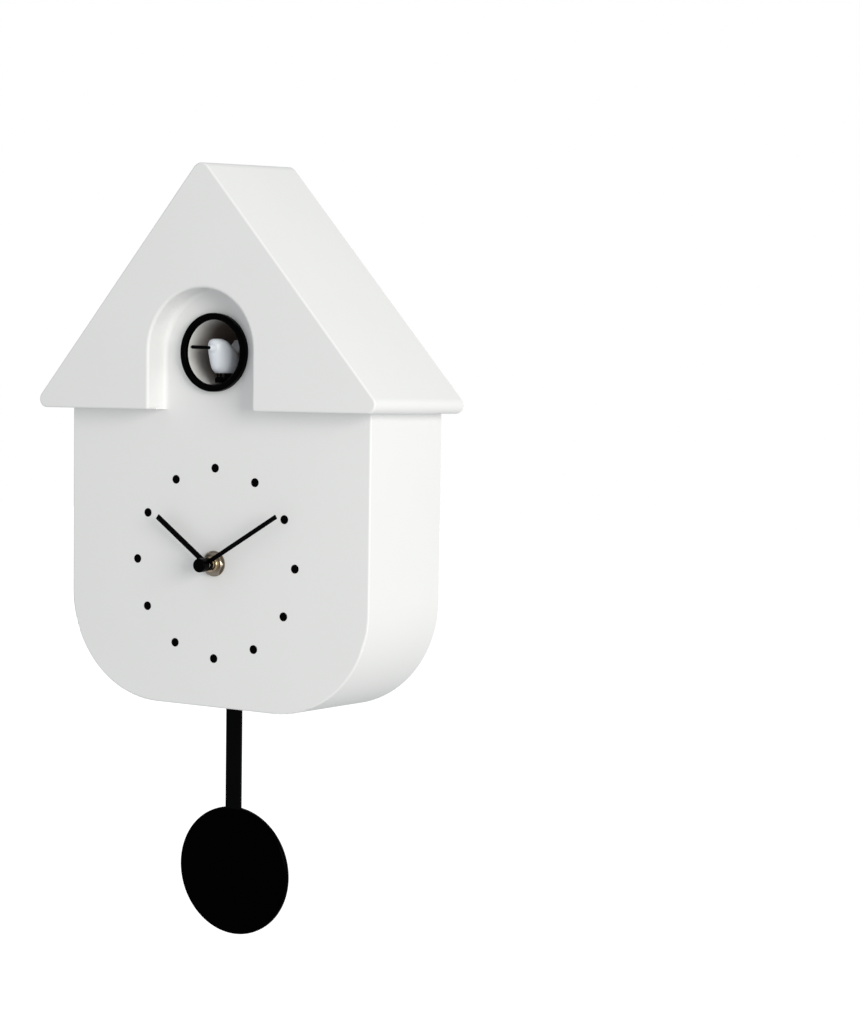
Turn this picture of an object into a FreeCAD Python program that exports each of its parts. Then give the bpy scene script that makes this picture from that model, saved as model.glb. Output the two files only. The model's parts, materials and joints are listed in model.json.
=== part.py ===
import FreeCAD, Part
import Sketcher
import math
import os

# Cuckoo clock, millimetres, +Z up. Origin: centre of the keyhole's entry hole
# on the wall plane. The wall is y = 0, the clock faces -Y.

doc = FreeCAD.newDocument("cuckoo_clock")
V = FreeCAD.Vector
sheet = doc.addObject("Spreadsheet::Sheet", "dims")

TABLE = [
    # housing
    ("body_w", 188.2), ("face_y", -66.8), ("wall", 2.5), ("body_bottom", -225.85),
    ("bottom_rad", 56.6), ("dial_z", -150.0), ("eave_z", -69.9), ("roof_front_y", -81.8),
    ("roof_half", 110.4), ("roof_apex", 59.6), ("eave_rad", 4.5), ("apex_rad", 6.0), ("draft", 0.05),
    ("edge_rad", 1.0), ("arch_half", 32.5), ("arch_z", -39.7), ("arch_edge", 1.6), ("cove", 2.5),
    ("gable_gap", 0.4), ("slide_gap", 0.15),
    # window
    ("win_z", -39.9), ("ring_or", 20.4), ("ring_ir", 16.95), ("ring_proud", 3.9), ("win_hole", 19.5),
    ("ring_lip", 2.6), ("ring_bore", 18.7), ("tunnel_or", 19.2), ("tunnel_ir", 17.6), ("tunnel_back", -22.8), ("tunnel_cut", -57.0),
    # dial
    ("dot_ring", 50.0), ("dot_rad", 2.3), ("dot_depth", 0.6),
    ("hour_len", 39.9), ("hour_w", 2.9), ("hour_y", -73.5), ("hour_ang", 306.4),
    ("minute_len", 51.8), ("minute_w", 2.3), ("minute_y", -76.0), ("minute_ang", 58.6),
    ("hand_th", 0.6), ("cap_rad", 3.65), ("cap_front", -81.3),
    ("arbor_rad", 1.5), ("tube_ir", 1.58), ("tube_or", 2.55), ("bush_ir", 2.63), ("bush_or", 3.9),
    ("nut_af", 11.6), ("nut_th", 2.2), ("washer_or", 6.7), ("washer_th", 0.6), ("gasket_th", 0.6),
    # movement
    ("mov_half", 28.0), ("mov_bottom", -178.0), ("mov_top", -117.0), ("mov_wall", 1.2),
    ("mov_front", -63.7), ("mov_split", -56.5), ("mov_rear", -49.3),
    ("mod_a", 0.4), ("mod_b", 0.4166667), ("wheel_x", 10.0), ("stem_x", 20.0),
    ("layer_a", -60.6), ("layer_b", -58.8),
    # pendulum
    ("piv_z", -125.0), ("piv_rad", 1.5), ("bar_w", 9.4), ("bar_front", -48.2), ("bar_th", 1.6),
    ("bob_z", -316.9), ("bob_rad", 34.5), ("bob_front", -48.4), ("bob_th", 3.8),
    ("slot_half", 24.0), ("slot_front", -52.8), ("slot_back", -40.8),
    # bird drive
    ("plat_half", 4.5), ("plat_top", -53.4), ("plat_th", 2.2), ("plat_front", -60.8), ("plat_rear", -4.8),
    ("rack_mod", 0.8), ("pin_z", -62.43), ("pin_y", -34.8), ("rack_front", -39.8), ("rack_rear", -5.8),
    # back
    ("cover_th", 2.5), ("cover_gap", 0.2), ("key_rad", 4.5), ("key_slot", 2.2), ("key_run", 9.0),
    ("door_half", 31.0), ("door_bot", -213.0), ("door_top", -169.4), ("door_gap", 0.4), ("door_axis_z", -211.5),
    ("door_axis_y", -1.25), ("door_pin", 0.8),
    ("knob_rad", 7.0), ("knob_hole", 7.5),
    ("spk_x", 48.0), ("spk_z", -105.0), ("spk_rad", 20.0),
    ("pcb_x", -48.0), ("pcb_z", -105.0), ("pcb_w", 50.0), ("pcb_h", 36.0), ("pcb_rear", -12.3), ("pcb_th", 1.6),
    ("cell_rad", 7.1), ("cell_len", 49.0), ("cell_y", -11.8), ("cell_z0", -205.4), ("cell_pitch", 14.6),
]
for i, (al, val) in enumerate(TABLE):
    r = str(i + 1)
    sheet.set("A" + r, al)
    sheet.set("B" + r, str(val))
    sheet.setAlias("B" + r, al)
doc.recompute()


class Q:
    """a number together with the expression that gives it"""

    def __init__(s, v, t):
        s.v = float(v)
        s.t = t

    def _b(s, o, op, f, flip=False):
        o = o if isinstance(o, Q) else Q(o, repr(float(o)))
        a, b = (o, s) if flip else (s, o)
        return Q(f(a.v, b.v), "(" + a.t + " " + op + " " + b.t + ")")

    def __add__(s, o): return s._b(o, "+", lambda a, b: a + b)
    def __radd__(s, o): return s._b(o, "+", lambda a, b: a + b, True)
    def __sub__(s, o): return s._b(o, "-", lambda a, b: a - b)
    def __rsub__(s, o): return s._b(o, "-", lambda a, b: a - b, True)
    def __mul__(s, o): return s._b(o, "*", lambda a, b: a * b)
    def __rmul__(s, o): return s._b(o, "*", lambda a, b: a * b, True)
    def __truediv__(s, o): return s._b(o, "/", lambda a, b: a / b)
    def __neg__(s): return Q(-s.v, "(0 - " + s.t + ")")


D = {}
for al, val in TABLE:
    D[al] = Q(sheet.get(al), "dims." + al)


def d(name):
    return D[name]


def num(x):
    return x.v if isinstance(x, Q) else float(x)


def bind(obj, prop, x):
    if isinstance(x, Q):
        obj.setExpression(prop, x.t)


FINAL = []


def done(obj, label):
    obj.Label = label
    FINAL.append((label, obj))
    return obj


COUNT = [0]


def nm(base):
    COUNT[0] += 1
    return base + "_" + str(COUNT[0])


# ---------- primitives
def box(x0, x1, y0, y1, z0, z1, name="box"):
    o = doc.addObject("Part::Box", nm(name))
    for prop, lo, hi in (("Length", x0, x1), ("Width", y0, y1), ("Height", z0, z1)):
        L = hi - lo if isinstance(hi, Q) or isinstance(lo, Q) else float(hi) - float(lo)
        setattr(o, prop, num(L))
        bind(o, prop, L)
    o.Placement.Base = V(num(x0), num(y0), num(z0))
    for ax, c in (("x", x0), ("y", y0), ("z", z0)):
        bind(o, "Placement.Base." + ax, c)
    return o


def cyl(x, y, z, r, L, axis, name="cyl"):
    """axis 'y': from y towards -Y; 'x': towards +X; 'z': towards +Z"""
    o = doc.addObject("Part::Cylinder", nm(name))
    o.Radius = num(r)
    o.Height = num(L)
    bind(o, "Radius", r)
    bind(o, "Height", L)
    rot = {"y": FreeCAD.Rotation(V(1, 0, 0), 90), "x": FreeCAD.Rotation(V(0, 1, 0), 90),
           "z": FreeCAD.Rotation()}[axis]
    o.Placement = FreeCAD.Placement(V(num(x), num(y), num(z)), rot)
    for ax, c in (("x", x), ("y", y), ("z", z)):
        bind(o, "Placement.Base." + ax, c)
    return o


def cone(x, y, z, r1, r2, L, axis, name="cone"):
    o = doc.addObject("Part::Cone", nm(name))
    o.Radius1 = num(r1)
    o.Radius2 = num(r2)
    o.Height = num(L)
    bind(o, "Radius1", r1)
    bind(o, "Radius2", r2)
    bind(o, "Height", L)
    rot = {"y": FreeCAD.Rotation(V(1, 0, 0), 90), "x": FreeCAD.Rotation(V(0, 1, 0), 90),
           "z": FreeCAD.Rotation()}[axis]
    o.Placement = FreeCAD.Placement(V(num(x), num(y), num(z)), rot)
    for ax, c in (("x", x), ("y", y), ("z", z)):
        bind(o, "Placement.Base." + ax, c)
    return o


def prism(x, y, z, sides, af, L, name="prism"):
    """regular prism along -Y, af = width across flats"""
    o = doc.addObject("Part::Prism", nm(name))
    o.Polygon = sides
    c = math.cos(math.pi / sides)
    o.Circumradius = num(af) / 2 / c
    if isinstance(af, Q):
        bind(o, "Circumradius", af / (2 * c))
    o.Height = num(L)
    bind(o, "Height", L)
    o.Placement = FreeCAD.Placement(V(num(x), num(y), num(z)), FreeCAD.Rotation(V(1, 0, 0), 90))
    for ax, c2 in (("x", x), ("y", y), ("z", z)):
        bind(o, "Placement.Base." + ax, c2)
    return o


def fuse(objs, name="fuse"):
    if len(objs) == 1:
        return objs[0]
    o = doc.addObject("Part::MultiFuse", nm(name))
    o.Shapes = objs
    return o


def cut(a, tools, name="cut"):
    o = doc.addObject("Part::Cut", nm(name))
    o.Base = a
    o.Tool = fuse(tools, name + "_tools") if len(tools) > 1 else tools[0]
    return o


def group(objs, name="group"):
    o = doc.addObject("Part::Compound", nm(name))
    o.Links = objs
    return o


def rounded(obj, r, pick, name="round"):
    """fillet on the edges that pick(edge) chooses"""
    doc.recompute()
    o = doc.addObject("Part::Fillet", nm(name))
    o.Base = obj
    o.Edges = [(i + 1, r, r) for i, e in enumerate(obj.Shape.Edges) if pick(e)]
    doc.recompute()
    return o


def feature(shape, name):
    o = doc.addObject("Part::Feature", nm(name))
    o.Shape = shape
    return o


# ---------- PartDesign helpers
def body(name):
    return doc.addObject("PartDesign::Body", name)


def origin_plane(b, role):
    for f in b.Origin.OriginFeatures:
        if f.Role == role:
            return f


def sketch(b, role, off, name):
    """XZ_Plane: off is the y of the sketch; XY_Plane: off is its z"""
    s = b.newObject("Sketcher::SketchObject", nm(name))
    s.AttachmentSupport = (origin_plane(b, role), [""])
    s.MapMode = "FlatFace"
    o = -off if role == "XZ_Plane" else off
    s.AttachmentOffset = FreeCAD.Placement(V(0, 0, num(o)), FreeCAD.Rotation())
    bind(s, "AttachmentOffset.Base.z", o)
    return s


def dim(s, kind, g, p, val, at):
    v = num(val)
    if abs(v) < 1e-9:
        s.addConstraint(Sketcher.Constraint("PointOnObject", g, p, -2 if kind == "DistanceX" else -1))
        return
    k = s.addConstraint(Sketcher.Constraint(kind, -1, 1, g, p, v))
    if isinstance(val, Q):
        s.setExpression("Constraints[%d]" % k, val.t)


def poly(s, pts):
    n = len(pts)
    g0 = s.GeometryCount
    for i in range(n):
        a, c = pts[i], pts[(i + 1) % n]
        s.addGeometry(Part.LineSegment(V(num(a[0]), num(a[1]), 0), V(num(c[0]), num(c[1]), 0)), False)
    for i in range(n):
        s.addConstraint(Sketcher.Constraint("Coincident", g0 + i, 2, g0 + (i + 1) % n, 1))
    for i in range(n):
        dim(s, "DistanceX", g0 + i, 1, pts[i][0], i)
        dim(s, "DistanceY", g0 + i, 1, pts[i][1], i)


def circ(s, x, y, r):
    g = s.addGeometry(Part.Circle(V(num(x), num(y), 0), V(0, 0, 1), num(r)), False)
    k = s.addConstraint(Sketcher.Constraint("Radius", g, num(r)))
    if isinstance(r, Q):
        s.setExpression("Constraints[%d]" % k, r.t)
    dim(s, "DistanceX", g, 3, x, g)
    dim(s, "DistanceY", g, 3, y, g)


def house(s, half, z0, r, zside, ztop):
    """house outline with rounded bottom corners"""
    a, b, c, e, f = num(half), num(z0), num(r), num(zside), num(ztop)
    pi = math.pi
    s.addGeometry(Part.LineSegment(V(-(a - c), b, 0), V(a - c, b, 0)), False)
    s.addGeometry(Part.ArcOfCircle(Part.Circle(V(a - c, b + c, 0), V(0, 0, 1), c), 1.5 * pi, 2 * pi), False)
    s.addGeometry(Part.LineSegment(V(a, b + c, 0), V(a, e, 0)), False)
    s.addGeometry(Part.LineSegment(V(a, e, 0), V(0, f, 0)), False)
    s.addGeometry(Part.LineSegment(V(0, f, 0), V(-a, e, 0)), False)
    s.addGeometry(Part.LineSegment(V(-a, e, 0), V(-a, b + c, 0)), False)
    s.addGeometry(Part.ArcOfCircle(Part.Circle(V(-(a - c), b + c, 0), V(0, 0, 1), c), pi, 1.5 * pi), False)
    for g, p, h, q in ((0, 2, 1, 1), (1, 2, 2, 1), (2, 2, 3, 1), (3, 2, 4, 1), (4, 2, 5, 1), (5, 2, 6, 1), (6, 2, 0, 1)):
        s.addConstraint(Sketcher.Constraint("Coincident", g, p, h, q))
    dim(s, "DistanceX", 1, 3, half - r, 0)
    dim(s, "DistanceY", 1, 3, z0 + r, 0)
    dim(s, "DistanceX", 6, 3, -(half - r), 0)
    dim(s, "DistanceY", 6, 3, z0 + r, 0)
    dim(s, "DistanceX", 2, 1, half, 0)
    dim(s, "DistanceY", 2, 1, z0 + r, 0)
    dim(s, "DistanceX", 6, 1, -half, 0)
    dim(s, "DistanceY", 6, 1, z0 + r, 0)
    dim(s, "DistanceX", 0, 2, half - r, 0)
    dim(s, "DistanceX", 0, 1, -(half - r), 0)
    dim(s, "DistanceX", 3, 1, half, 0)
    dim(s, "DistanceY", 3, 1, zside, 0)
    dim(s, "DistanceX", 5, 1, -half, 0)
    dim(s, "DistanceY", 5, 1, zside, 0)
    dim(s, "DistanceX", 4, 1, 0, 0)
    dim(s, "DistanceY", 4, 1, ztop, 0)


def rect(s, x0, x1, z0, z1):
    poly(s, [(x0, z0), (x1, z0), (x1, z1), (x0, z1)])


def taper(f, sign):
    """moulding draft; sign -1 narrows the solid or hole on its way, +1 widens it"""
    f.TaperAngle = sign * math.degrees(math.atan(num_of("draft")))
    f.setExpression("TaperAngle", ("-" if sign < 0 else "") + "atan(dims.draft)")


def pad(b, s, L, name="pad", draft=0):
    f = b.newObject("PartDesign::Pad", nm(name))
    f.Profile = s
    f.Length = num(L)
    bind(f, "Length", L)
    if draft:
        taper(f, draft)
    s.Visibility = False
    doc.recompute()
    return f


def pocket(b, s, L, name="pocket", draft=0):
    doc.recompute()
    v0 = b.Shape.Volume
    f = b.newObject("PartDesign::Pocket", nm(name))
    f.Profile = s
    f.Length = num(L)
    bind(f, "Length", L)
    if draft:
        taper(f, draft)
    s.Visibility = False
    doc.recompute()
    if not b.Shape.Volume < v0 - 1e-6:
        print("POCKET REMOVED NOTHING", f.Name, s.Name)
    return f


def pdfillet(b, r, pick, name="fillet"):
    doc.recompute()
    base = b.Tip
    names = ["Edge%d" % (i + 1) for i, e in enumerate(base.Shape.Edges) if pick(e)]
    f = b.newObject("PartDesign::Fillet", nm(name))
    f.Base = (base, names)
    f.Radius = num(r)
    bind(f, "Radius", r)
    doc.recompute()
    return f


def along(e, ax):
    """straight edge that runs along the axis, give or take the draft"""
    p, q = e.valueAt(e.FirstParameter), e.valueAt(e.LastParameter)
    t = q - p
    return t.Length > 1e-6 and abs(e.Length - t.Length) < 1e-4 and abs(getattr(t, ax)) / t.Length > 0.99


def flat_y(e, y):
    bb = e.BoundBox
    return abs(bb.YMin - y) < 1e-4 and abs(bb.YMax - y) < 1e-4


# ---------- gears (outline in its own XY plane, extruded along its own +Z)
def gear_face(z, m, add, ded, thin, phase, bore=0.0, steps=5):
    rp = m * z / 2.0
    al = math.radians(20)
    rb = rp * math.cos(al)
    ra = rp + add * m
    rf = rp - ded * m
    inv = math.tan(al) - al
    half = math.pi / (2 * z) - thin / (2 * rp)
    r0 = max(rb, rf)
    pts = []
    for k in range(z):
        c = phase + 2 * math.pi * k / z
        fl = []
        for j in range(steps + 1):
            r = r0 + (ra - r0) * j / steps
            a = math.acos(min(1.0, rb / r))
            w = half + inv - (math.tan(a) - a)
            fl.append((r, w))
        w0 = fl[0][1]
        if rf < r0:
            pts.append((rf, c - w0))
        for r, w in fl:
            pts.append((r, c - w))
        for r, w in reversed(fl):
            pts.append((r, c + w))
        if rf < r0:
            pts.append((rf, c + w0))
    vs = [V(r * math.cos(a), r * math.sin(a), 0) for r, a in pts]
    vs.append(vs[0])
    f = Part.Face(Part.makePolygon(vs))
    if bore > 0:
        f = f.cut(Part.Face(Part.Wire(Part.makeCircle(bore, V(0, 0, 0)))))
    return f


def gear_solid(z, m, add, ded, thin, phase, th, bore=0.0):
    f = gear_face(z, m, add, ded, thin, phase, bore)
    return f.extrude(V(0, 0, th))


ROT_Y = FreeCAD.Rotation(V(1, 0, 0), 90)


def wire_solid(pts, r, n=8):
    """round wire through the points, as one closed solid of flat facets"""
    pts = [V(*q) for q in pts]
    rings = []
    side = None
    for i, c in enumerate(pts):
        a = pts[max(0, i - 1)]
        b = pts[min(len(pts) - 1, i + 1)]
        t = (b - a).normalize()
        if side is None:
            side = t.cross(V(0.13, 0.31, 0.94)).normalize()
        side = (side - t * side.dot(t)).normalize()
        up = t.cross(side)
        rings.append([c + side * (r * math.cos(2 * math.pi * k / n)) + up * (r * math.sin(2 * math.pi * k / n))
                      for k in range(n)])
    faces = []

    def tri(a, b, c):
        faces.append(Part.Face(Part.makePolygon([a, b, c, a])))

    for u, w in zip(rings, rings[1:]):
        for k in range(n):
            k2 = (k + 1) % n
            tri(u[k], u[k2], w[k2])
            tri(u[k], w[k2], w[k])
    for ring, c in ((rings[0], pts[0]), (rings[-1], pts[-1])):
        for k in range(n):
            tri(c, ring[k], ring[(k + 1) % n])
    sh = Part.makeShell(faces)
    sh.sewShape()
    so = Part.makeSolid(sh)
    if so.Volume < 0:
        so.reverse()
    return so


def num_of(a):
    return float(sheet.get(a))


# =====================================================================
# housing
hw = d("body_w") / 2
slope = (num_of("roof_apex") - num_of("eave_z")) / num_of("roof_half")
kv = math.sqrt(1 + slope * slope)
SL = (d("roof_apex") - d("eave_z")) / d("roof_half")


def roof_line(x, off, run):
    """height of the roof slope moved inwards by off, at x (>= 0), run behind the roof's front"""
    return d("roof_apex") + d("draft") * run * kv - off * kv - SL * x


g_body = d("wall") + d("gable_gap")
cols = [(82.0, -78.0), (-82.0, -78.0), (62.0, -190.0), (-62.0, -190.0), (0.0, 35.0)]
roofs = [(66.0, -52.0), (-66.0, -52.0), (0.0, 21.0)]
depth = -d("roof_front_y")
tub_d = -d("face_y")
porch = d("face_y") - d("roof_front_y")
grow = d("draft") * depth
hwb = hw + d("draft") * tub_d

# roof hood
B = body("roof_body")
s = sketch(B, "XZ_Plane", Q(0, "0"), "roof_outline")
ze = d("eave_z") - grow - 1
xe = (roof_line(0, 0.0, depth) - ze) / SL
poly(s, [(-xe, ze), (xe, ze), (0, roof_line(0, 0.0, depth))])
pad(B, s, depth, draft=-1)
s = sketch(B, "XZ_Plane", d("roof_front_y") - 1, "flat_soffit")
rect(s, -xe - 5, xe + 5, ze - 5, d("eave_z"))
pocket(B, s, depth + 2)
pdfillet(B, d("eave_rad"), lambda e: along(e, "y") and e.BoundBox.ZMax < -60)
pdfillet(B, d("apex_rad"), lambda e: along(e, "y") and e.BoundBox.ZMin > 50)
pdfillet(B, d("edge_rad"), lambda e: flat_y(e, num_of("roof_front_y")))
s = sketch(B, "XZ_Plane", d("roof_front_y") + d("wall"), "roof_inside")
zi = d("eave_z") + d("wall") + grow
xi = hw + 4.6
poly(s, [(-xi, zi), (xi, zi), (xi, roof_line(xi, d("wall"), d("wall"))), (0, roof_line(0, d("wall"), d("wall"))),
         (-xi, roof_line(xi, d("wall"), d("wall")))])
pocket(B, s, depth - d("wall") - d("cover_th"), draft=1)
s = sketch(B, "XZ_Plane", -d("cover_th") - 0.5, "roof_back_opening")
ww = hwb + d("slide_gap")
rb = depth - d("cover_th")
poly(s, [(-ww, d("eave_z") - 1), (ww, d("eave_z") - 1), (ww, roof_line(ww, d("wall"), rb)),
         (0, roof_line(0, d("wall"), rb)), (-ww, roof_line(ww, d("wall"), rb))])
pocket(B, s, d("cover_th") + 1)
s = sketch(B, "XY_Plane", zi + 0.5, "soffit_opening")
wf = hw + d("slide_gap")
poly(s, [(-wf, d("face_y") - d("slide_gap")), (wf, d("face_y") - d("slide_gap")), (ww + 0.05, 1), (-ww - 0.05, 1)])
pocket(B, s, d("wall") + grow + 1.5)
rv = d("arch_half") + 2.0
s = sketch(B, "XZ_Plane", d("face_y") - 0.02, "reveal_walls")
rect(s, -rv, rv, d("eave_z"), d("arch_z"))
pad(B, s, d("face_y") - 0.02 - d("roof_front_y") - 1.7)
s = sketch(B, "XZ_Plane", d("face_y") - 0.02, "reveal_arch")
circ(s, 0, d("arch_z"), rv)
pad(B, s, d("face_y") - 0.02 - d("roof_front_y") - 1.7)
s = sketch(B, "XZ_Plane", d("face_y") - 0.02, "screw_bosses")
for x, z in roofs:
    circ(s, x, z, 3.2)
pad(B, s, d("face_y") - 0.02 - d("roof_front_y") - 1.7)
s = sketch(B, "XZ_Plane", d("face_y") - 8.0, "screw_bores")
for x, z in roofs:
    circ(s, x, z, 1.25)
pocket(B, s, 9.0)
ledge = 0.12
for nm_, hf, run in (("throat", d("arch_half") - d("cove") - 0.15, d("face_y") - d("roof_front_y") + 2),
                     ("arch", d("arch_half") - 0.03, d("face_y") - d("roof_front_y") + 1 - 0.02 - ledge),
                     ("arch_mouth", d("arch_half"), Q(8, "8"))):
    s = sketch(B, "XZ_Plane", d("roof_front_y") - 1, nm_ + "_rect")
    rect(s, -hf, hf, d("eave_z") - 5, d("arch_z"))
    pocket(B, s, run)
    s = sketch(B, "XZ_Plane", d("roof_front_y") - 1, nm_ + "_round")
    circ(s, 0, d("arch_z"), hf)
    pocket(B, s, run)
yl = num_of("face_y") - 0.02 - ledge
pdfillet(B, d("cove") - 0.05, lambda e: flat_y(e, yl) and max(abs(e.BoundBox.XMin), abs(e.BoundBox.XMax)) > num_of("arch_half") - 0.05
         and max(abs(e.BoundBox.XMin), abs(e.BoundBox.XMax)) < num_of("arch_half") + 0.01 and e.Length > 5)
pdfillet(B, d("arch_edge"), lambda e: flat_y(e, num_of("roof_front_y")) and
         max(abs(e.BoundBox.XMin), abs(e.BoundBox.XMax)) < num_of("arch_half") + 0.01 and e.BoundBox.ZMax < 0)
done(B, "roof_shell")

# body tub
B = body("tub_body")
s = sketch(B, "XZ_Plane", Q(0, "0"), "tub_outline")
gb = d("draft") * tub_d
house(s, hwb, d("body_bottom") - gb, d("bottom_rad") + gb, roof_line(hwb, g_body, depth), roof_line(0, g_body, depth))
pad(B, s, tub_d, draft=-1)
pdfillet(B, d("edge_rad"), lambda e: flat_y(e, num_of("face_y")) and e.BoundBox.ZMax < -50)
s = sketch(B, "XZ_Plane", d("face_y") + d("wall"), "tub_inside")
gw = d("draft") * d("wall")
hi = hw - d("wall") + gw
zb = d("body_bottom") + d("wall") - gw
g2 = g_body + d("wall")
house(s, hi, zb, d("bottom_rad") - d("wall") + gw, roof_line(hi, g2, porch + d("wall")), roof_line(0, g2, porch + d("wall")))
pocket(B, s, tub_d - d("wall") + 1, draft=1)
s = sketch(B, "XZ_Plane", -d("cover_th") - 0.1, "cover_columns")
for x, z in cols:
    circ(s, x, z, 4.0)
pad(B, s, -d("cover_th") - 0.1 - d("face_y") - d("wall") + 0.2)
s = sketch(B, "XZ_Plane", -18.0 + Q(0, "0"), "column_bores")
for x, z in cols:
    circ(s, x, z, 1.25)
pocket(B, s, 17.0)
# stakes for the tunnel and the bird's rail frame
stakes = [(27.0, -39.9), (-27.0, -39.9), (11.0, -78.0), (-11.0, -78.0)]
s = sketch(B, "XZ_Plane", d("face_y") + d("wall") + 3.0, "stakes")
for x, z in stakes:
    circ(s, x, z, 1.5)
pad(B, s, 3.2)
s = sketch(B, "XZ_Plane", d("face_y") - 1, "face_holes")
circ(s, 0, d("dial_z"), d("bush_or") + 0.1)
circ(s, 0, d("win_z"), d("win_hole"))
for x, z in roofs:
    circ(s, x, z, 1.6)
pocket(B, s, d("wall") + 1.5)
s = sketch(B, "XZ_Plane", d("face_y") - 1, "dot_seats")
for k in range(12):
    a = math.radians(30 * k)
    circ(s, d("dot_ring") * math.sin(a), d("dial_z") + d("dot_ring") * math.cos(a), d("dot_rad") + 0.02)
pocket(B, s, 1 + d("dot_depth"))
s = sketch(B, "XY_Plane", zb + 0.5, "pendulum_slot")
rect(s, -d("slot_half"), d("slot_half"), d("slot_front"), d("slot_back"))
pocket(B, s, d("wall") + 4)
done(B, "body_shell")

dots = []
for k in range(12):
    a = math.radians(30 * k)
    dots.append(cyl(d("dot_ring") * math.sin(a), d("face_y") + d("dot_depth"),
                    d("dial_z") + d("dot_ring") * math.cos(a), d("dot_rad"), d("dot_depth") + 0.1, "y", "dot"))
done(group(dots, "dots"), "hour_dots")

# =====================================================================
# window
rings = fuse([cyl(0, d("face_y"), d("win_z"), d("ring_or"), d("ring_proud"), "y"),
              cyl(0, d("face_y") + d("wall") + 0.6, d("win_z"), d("win_hole") - 0.05, d("wall") + 1.0, "y")])
ring = cut(rings, [cyl(0, d("face_y") + 10, d("win_z"), d("ring_ir"), 20, "y"),
                   cyl(0, d("face_y") + 10, d("win_z"), d("ring_bore"), 10 + d("ring_proud") - d("ring_lip"), "y")])
doc.recompute()
yf = num_of("face_y") - num_of("ring_proud")
ring = rounded(ring, 0.9, lambda e: flat_y(e, yf))
ring = rounded(ring, 0.6, lambda e: flat_y(e, num_of("face_y")) and e.BoundBox.XMax > num_of("ring_or") - 0.1)
done(ring, "window_ring")

tf = d("face_y") + d("wall") + 0.7
nose = d("face_y") - d("ring_proud") + d("ring_lip") + 0.1
tube = fuse([cyl(0, d("tunnel_back"), d("win_z"), d("tunnel_or"), d("tunnel_back") - tf, "y"),
             cyl(0, tf + 1, d("win_z"), d("ring_bore") - 0.1, tf + 1 - nose, "y"),
             cyl(0, tf + 1.4, d("win_z"), 24.0, 1.4, "y"),
             box(-31.0, 31.0, tf, tf + 1.4, d("win_z") - 4, d("win_z") + 4)])
tube = cut(tube, [cyl(0, d("tunnel_back") - 1.5, d("win_z"), d("tunnel_ir"), d("tunnel_back") - nose + 2, "y"),
                  box(-30.0, 30.0, tf - 0.1, 0.0, d("win_z") - 40, d("tunnel_cut")),
                  box(-7.2, 7.2, nose - 1, d("tunnel_back") + 1, d("tunnel_cut") - 3, d("plat_top") + 1.6),
                  cyl(27.0, tf + 5, -39.9, 1.6, 10, "y"), cyl(-27.0, tf + 5, -39.9, 1.6, 10, "y")])
done(tube, "bird_tunnel")

# =====================================================================
# bird
fy = num_of("face_y")
dz = num_of("dial_z")


# trunk and head: level oval slices, from the flat underside to the crown
# (height above the dial centre, front y, back y, half width)
slices = [(99.5, 1.6, 15.2, 3.9), (100.3, 0.5, 16.2, 4.7), (102.0, -1.1, 17.2, 5.4), (104.5, -2.1, 17.7, 5.9),
          (107.5, -3.0, 17.4, 6.0), (110.0, -3.8, 16.4, 5.9), (112.5, -4.2, 13.2, 5.6), (114.8, -4.0, 9.0, 4.9),
          (116.4, -3.3, 6.4, 3.6), (117.2, -1.4, 4.2, 1.9)]
ovals = []
for zz, y0, y1, hb in slices:
    a_, c_ = (y1 - y0) / 2.0, (y0 + y1) / 2.0
    big, small = max(a_, hb), min(a_, hb)
    el = Part.Ellipse(V(0, 0, 0), big, small).toShape()
    el.Placement = FreeCAD.Placement(V(0, fy + c_, dz + zz), FreeCAD.Rotation(V(0, 0, 1), 90 if a_ >= hb else 0))
    ovals.append(Part.Wire(el))
trunk = Part.makeLoft(ovals, True, False)
# tail: a short fan that lifts behind the back
tails = []
for yy, zz, hw_, ht_ in ((9.0, 107.5, 3.6, 2.6), (14.0, 110.2, 3.6, 2.2), (18.5, 113.6, 3.7, 1.4), (22.2, 116.9, 4.0, 0.6)):
    el = Part.Ellipse(V(0, 0, 0), hw_, ht_).toShape()
    el.Placement = FreeCAD.Placement(V(0, fy + yy, dz + zz), FreeCAD.Rotation(V(1, 0, 0), 90 + 38))
    tails.append(Part.Wire(el))
tail = Part.makeLoft(tails, True, False)
# the face swells around the root of the beak
cere = Part.makeCone(3.0, 1.15, 3.6, V(0, fy - 2.7, dz + 112.4), V(0, -1, 0))
bird = trunk.fuse(tail).fuse(cere)
floor_cut = Part.makeBox(40, 60, 20, V(-20, fy - 20, dz + 99.5 - 20))
beak_hole = Part.makeCylinder(0.9, 8, V(0, fy - 2.2, dz + 112.4), V(0, -1, 0))
bird = bird.cut(floor_cut).cut(beak_hole)
done(feature(bird, "bird"), "bird_body")
beak = Part.makeCylinder(0.9, 18.6, V(0, fy - 2.2, dz + 112.4), V(0, -1, 0)).fuse(
    Part.makeCone(0.9, 0.45, 1.1, V(0, fy - 20.8, dz + 112.4), V(0, -1, 0)))
done(feature(beak, "beak"), "bird_beak")

legs = []
for sx in (-1, 1):
    zf = d("plat_top")
    legs.append(fuse([cyl(0.95 * sx, fy + 2.9, zf, 0.6, -50.5 - zf, "z"),
                      box(0.95 * sx - 0.7, 0.95 * sx + 0.7, fy + 2.0, fy + 4.4, zf, zf + 0.8)]))
done(group(legs, "legs"), "bird_feet")

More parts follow.
